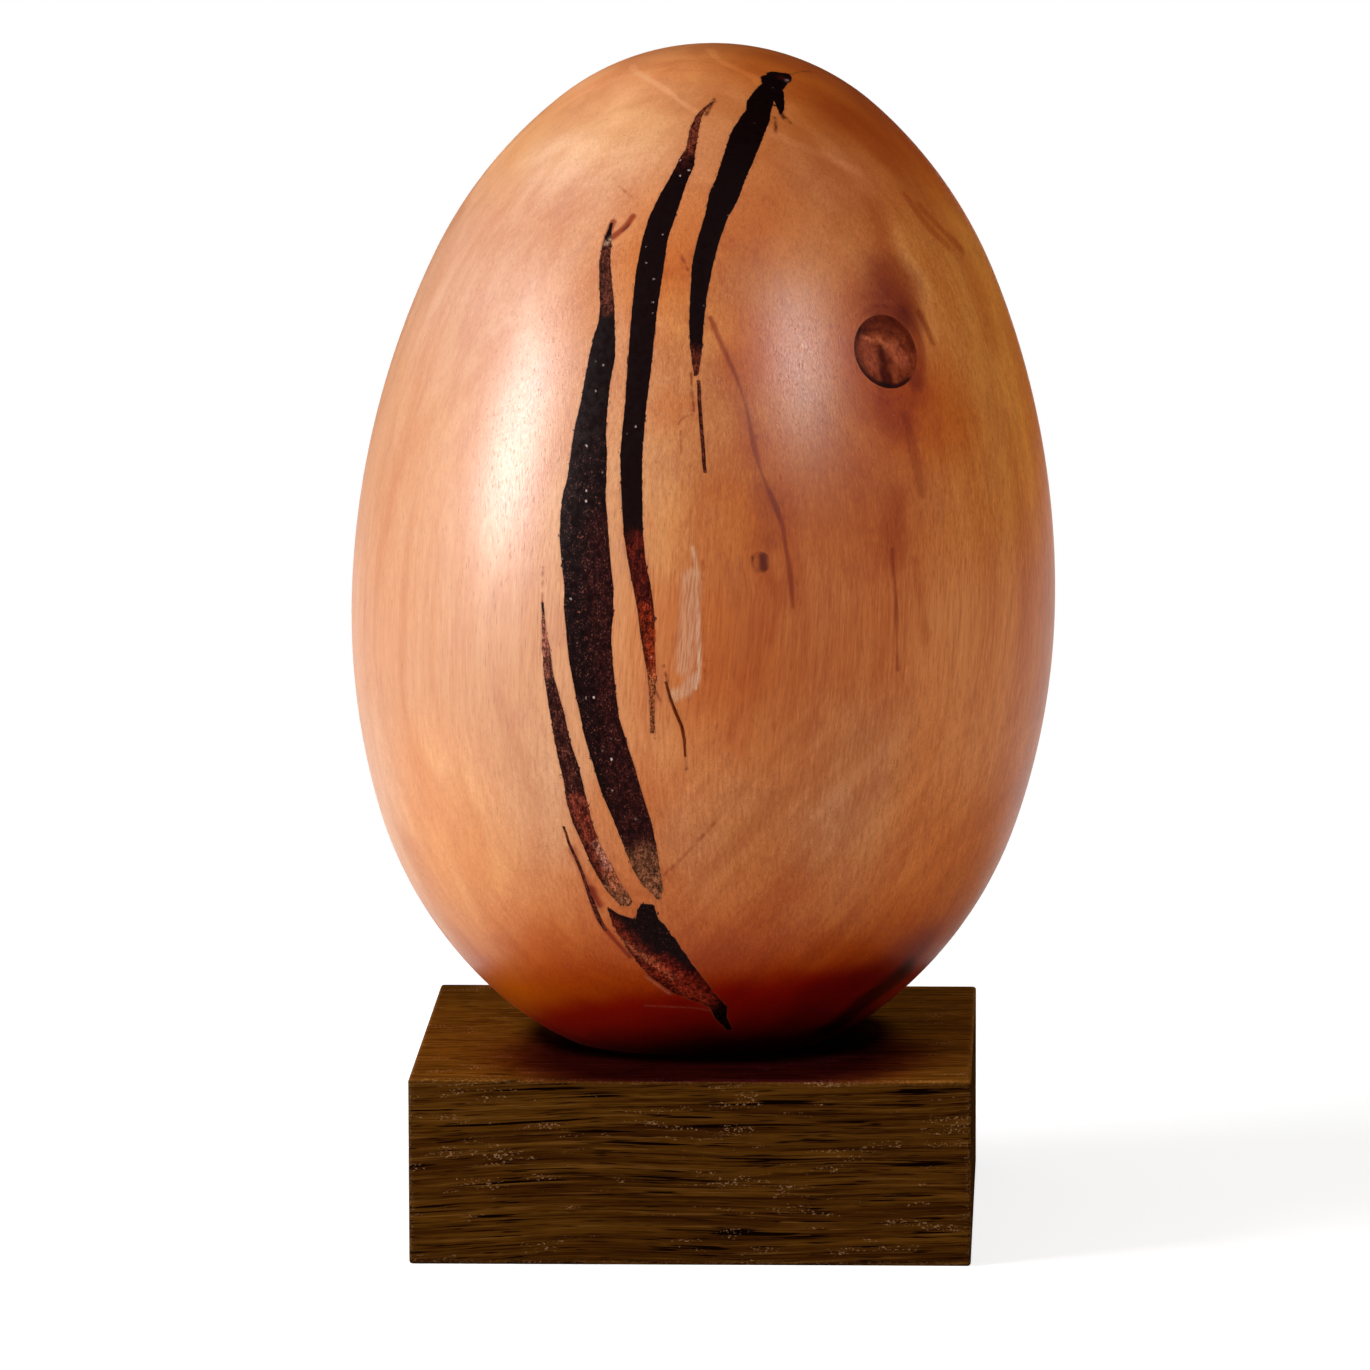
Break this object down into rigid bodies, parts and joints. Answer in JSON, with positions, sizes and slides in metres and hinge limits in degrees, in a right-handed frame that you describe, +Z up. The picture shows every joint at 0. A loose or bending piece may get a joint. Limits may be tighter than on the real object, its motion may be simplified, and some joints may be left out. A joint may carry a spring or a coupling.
{
  "type": "wooden egg on a wooden block",
  "caption": "Turned wooden egg with dark gum veins and a knot, standing on a pin in the dished top of a square oak block.",
  "frame": {"origin": "centre of the block's underside, below the middle of the egg's dish", "axes": "+Z up through the pin, -Y towards the side with the veins, +X to the right seen from that side"},
  "size_m": [0.0968, 0.0968, 0.1624],
  "materials": {
    "egg_wood": "sanded fine and waxed to a satin gloss",
    "dark_gum": "hard dark gum, turned and polished flush with the wood",
    "red_gum": "thin reddish gum, turned and polished flush with the wood",
    "knot_wood": "dense red-brown knot wood, waxed",
    "bark": "dark bark held round the knot, waxed",
    "oak": "open-pored oak with dark pores, oiled",
    "steel": "plain drawn steel rod"
  },
  "bodies": {
    "block": {"base_block": "oak"},
    "pin": {"pin": "steel"},
    "egg": {"egg_body": "egg_wood", "main_vein": "dark_gum", "middle_vein": "dark_gum", "crown_vein": "dark_gum", "left_vein": "red_gum", "foot_vein": "dark_gum", "hairline_vein": "red_gum", "crack_fill": "red_gum", "knot": "knot_wood", "knot_bark": "bark", "pin_knot": "knot_wood"}
  },
  "joints": [
    {"name": "egg_turn", "type": "hinge", "parent": "block", "child": "pin", "pos_m": [0, 0, 0.0209], "axis": [0, 0, 1], "continuous": true},
    {"name": "egg_lift", "type": "slide", "parent": "pin", "child": "egg", "axis": [0, 0, 1], "range_m": [0, 0.03]}
  ]
}
